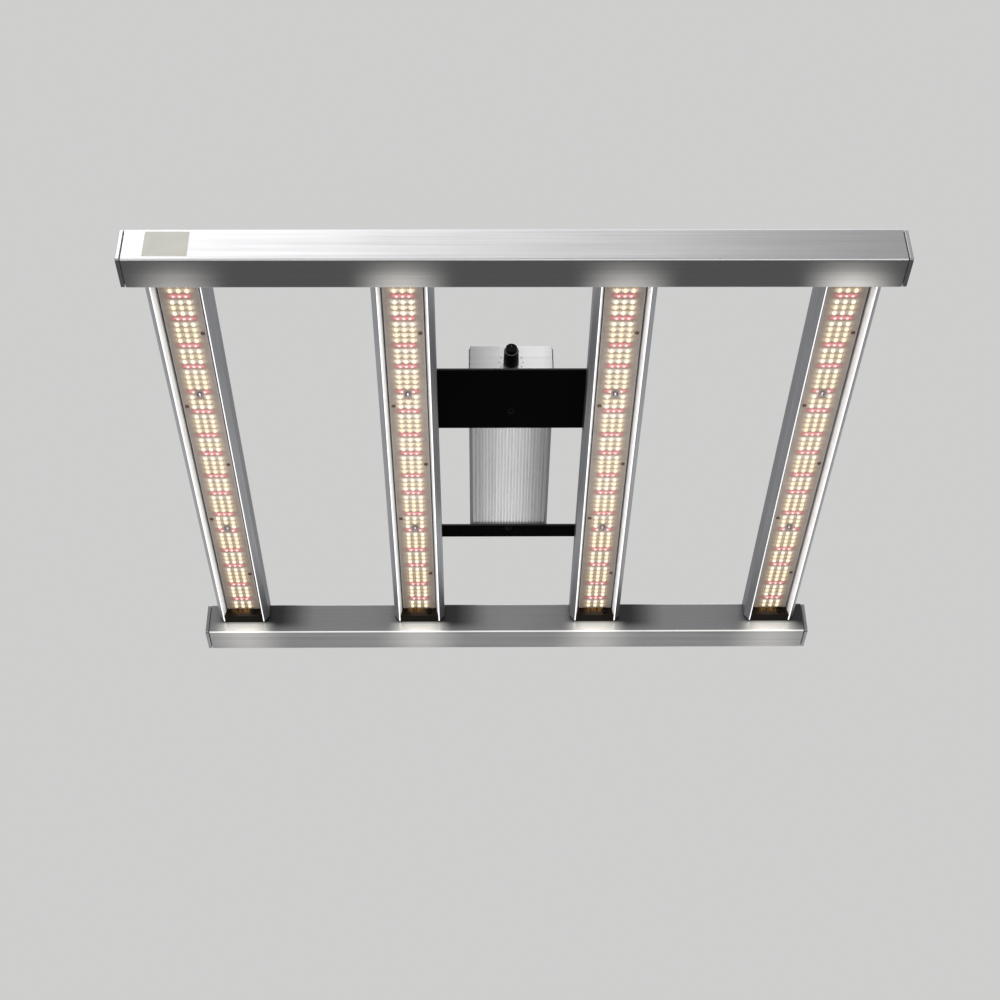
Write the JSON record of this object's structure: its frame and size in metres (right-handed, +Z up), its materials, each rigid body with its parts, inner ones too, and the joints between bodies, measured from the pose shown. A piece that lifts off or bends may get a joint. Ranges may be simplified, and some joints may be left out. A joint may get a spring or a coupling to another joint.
{
  "type": "led grow light",
  "caption": "Bar-type LED grow light: LED bars side by side between hollow aluminium cross beams, dimmable driver on black plates above the middle bars, folding hanging rings.",
  "frame": {"origin": "centre of the fixture, on the plane of the cross beams' undersides", "axes": "+X along the cross beams, +Y from the dimmer side to the lead side, +Z up"},
  "size_m": [0.627, 0.5794, 0.0776],
  "materials": {
    "brushed_aluminium": "satin, brushed lengthwise, clear anodised",
    "bar_aluminium": "satin, extruded",
    "led_board": "satin solder mask on an aluminium board",
    "end_block_plastic": "gloss",
    "cap_aluminium": "satin, clear anodised",
    "plate_powder_coat": "matt powder coat",
    "housing_aluminium": "satin, fine ribs",
    "panel_aluminium": "satin, brushed",
    "zinc_steel": "zinc plated",
    "black_steel": "black oxide",
    "knob_plastic": "satin, fluted",
    "cable_jacket": "matt",
    "circuit_board": "semi-gloss",
    "wire_jacket": "satin",
    "led_white": "lit phosphor under a clear lens",
    "led_red": "lit red emitter under a clear lens"
  },
  "bodies": {
    "fixture": {"bar_bolt_front_1": "zinc_steel", "bar_bolt_front_2": "zinc_steel", "bar_bolt_front_3": "zinc_steel", "bar_bolt_front_4": "zinc_steel", "bar_bolt_rear_1": "zinc_steel", "bar_bolt_rear_2": "zinc_steel", "bar_bolt_rear_3": "zinc_steel", "bar_bolt_rear_4": "zinc_steel", "bar_end_block_front_1": "end_block_plastic", "bar_end_block_front_2": "end_block_plastic", "bar_end_block_front_3": "end_block_plastic", "bar_end_block_front_4": "end_block_plastic", "bar_end_block_rear_1": "end_block_plastic", "bar_end_block_rear_2": "end_block_plastic", "bar_end_block_rear_3": "end_block_plastic", "bar_end_block_rear_4": "end_block_plastic", "beam_end_cap_front_left": "cap_aluminium", "beam_end_cap_front_right": "cap_aluminium", "beam_end_cap_rear_left": "cap_aluminium", "beam_end_cap_rear_right": "cap_aluminium", "dimmer_nut": "zinc_steel", "dimmer_potentiometer": "zinc_steel", "driver_circuit_board": "circuit_board", "driver_front_plate": "panel_aluminium", "driver_housing": "housing_aluminium", "driver_plate_front": "plate_powder_coat", "driver_plate_rear": "plate_powder_coat", "driver_rear_plate": "panel_aluminium", "driver_screw_front": "black_steel", "driver_screw_rear": "black_steel", "front_beam": "brushed_aluminium", "front_beam_cover": "brushed_aluminium", "hanging_saddle_front_left": "zinc_steel", "hanging_saddle_front_right": "zinc_steel", "hanging_saddle_rear_left": "zinc_steel", "hanging_saddle_rear_right": "zinc_steel", "led_bar_1": "bar_aluminium", "led_bar_2": "bar_aluminium", "led_bar_3": "bar_aluminium", "led_bar_4": "bar_aluminium", "led_board_1": "led_board", "led_board_2": "led_board", "led_board_3": "led_board", "led_board_4": "led_board", "mains_connector": "cable_jacket", "mains_lead": "cable_jacket", "output_lead": "cable_jacket", "plate_screw_front_left": "black_steel", "plate_screw_front_right": "black_steel", "plate_screw_rear_left": "black_steel", "plate_screw_rear_right": "black_steel", "rear_beam": "brushed_aluminium", "rear_beam_cover": "brushed_aluminium", "rear_wiring_harness": "wire_jacket"},
    "dimmer": {"dimmer_knob": "knob_plastic", "dimmer_shaft": "zinc_steel"},
    "ring_front_left": {"hanging_ring_front_left": "zinc_steel"},
    "ring_front_right": {"hanging_ring_front_right": "zinc_steel"},
    "ring_rear_left": {"hanging_ring_rear_left": "zinc_steel"},
    "ring_rear_right": {"hanging_ring_rear_right": "zinc_steel"}
  },
  "joints": [
    {"name": "dimmer_turn", "type": "hinge", "parent": "fixture", "child": "dimmer", "pos_m": [0, -0.11, 0.058], "axis": [0, 1, 0], "range_deg": [-150, 150]},
    {"name": "ring_front_left_fold", "type": "hinge", "parent": "fixture", "child": "ring_front_left", "pos_m": [-0.225, -0.2737, 0.0376], "axis": [0, -1, 0], "range_deg": [0, 180]},
    {"name": "ring_front_right_fold", "type": "hinge", "parent": "fixture", "child": "ring_front_right", "pos_m": [0.225, -0.2737, 0.0376], "axis": [0, 1, 0], "range_deg": [0, 180]},
    {"name": "ring_rear_left_fold", "type": "hinge", "parent": "fixture", "child": "ring_rear_left", "pos_m": [-0.225, 0.2737, 0.0376], "axis": [0, -1, 0], "range_deg": [0, 180]},
    {"name": "ring_rear_right_fold", "type": "hinge", "parent": "fixture", "child": "ring_rear_right", "pos_m": [0.225, 0.2737, 0.0376], "axis": [0, 1, 0], "range_deg": [0, 180]}
  ]
}
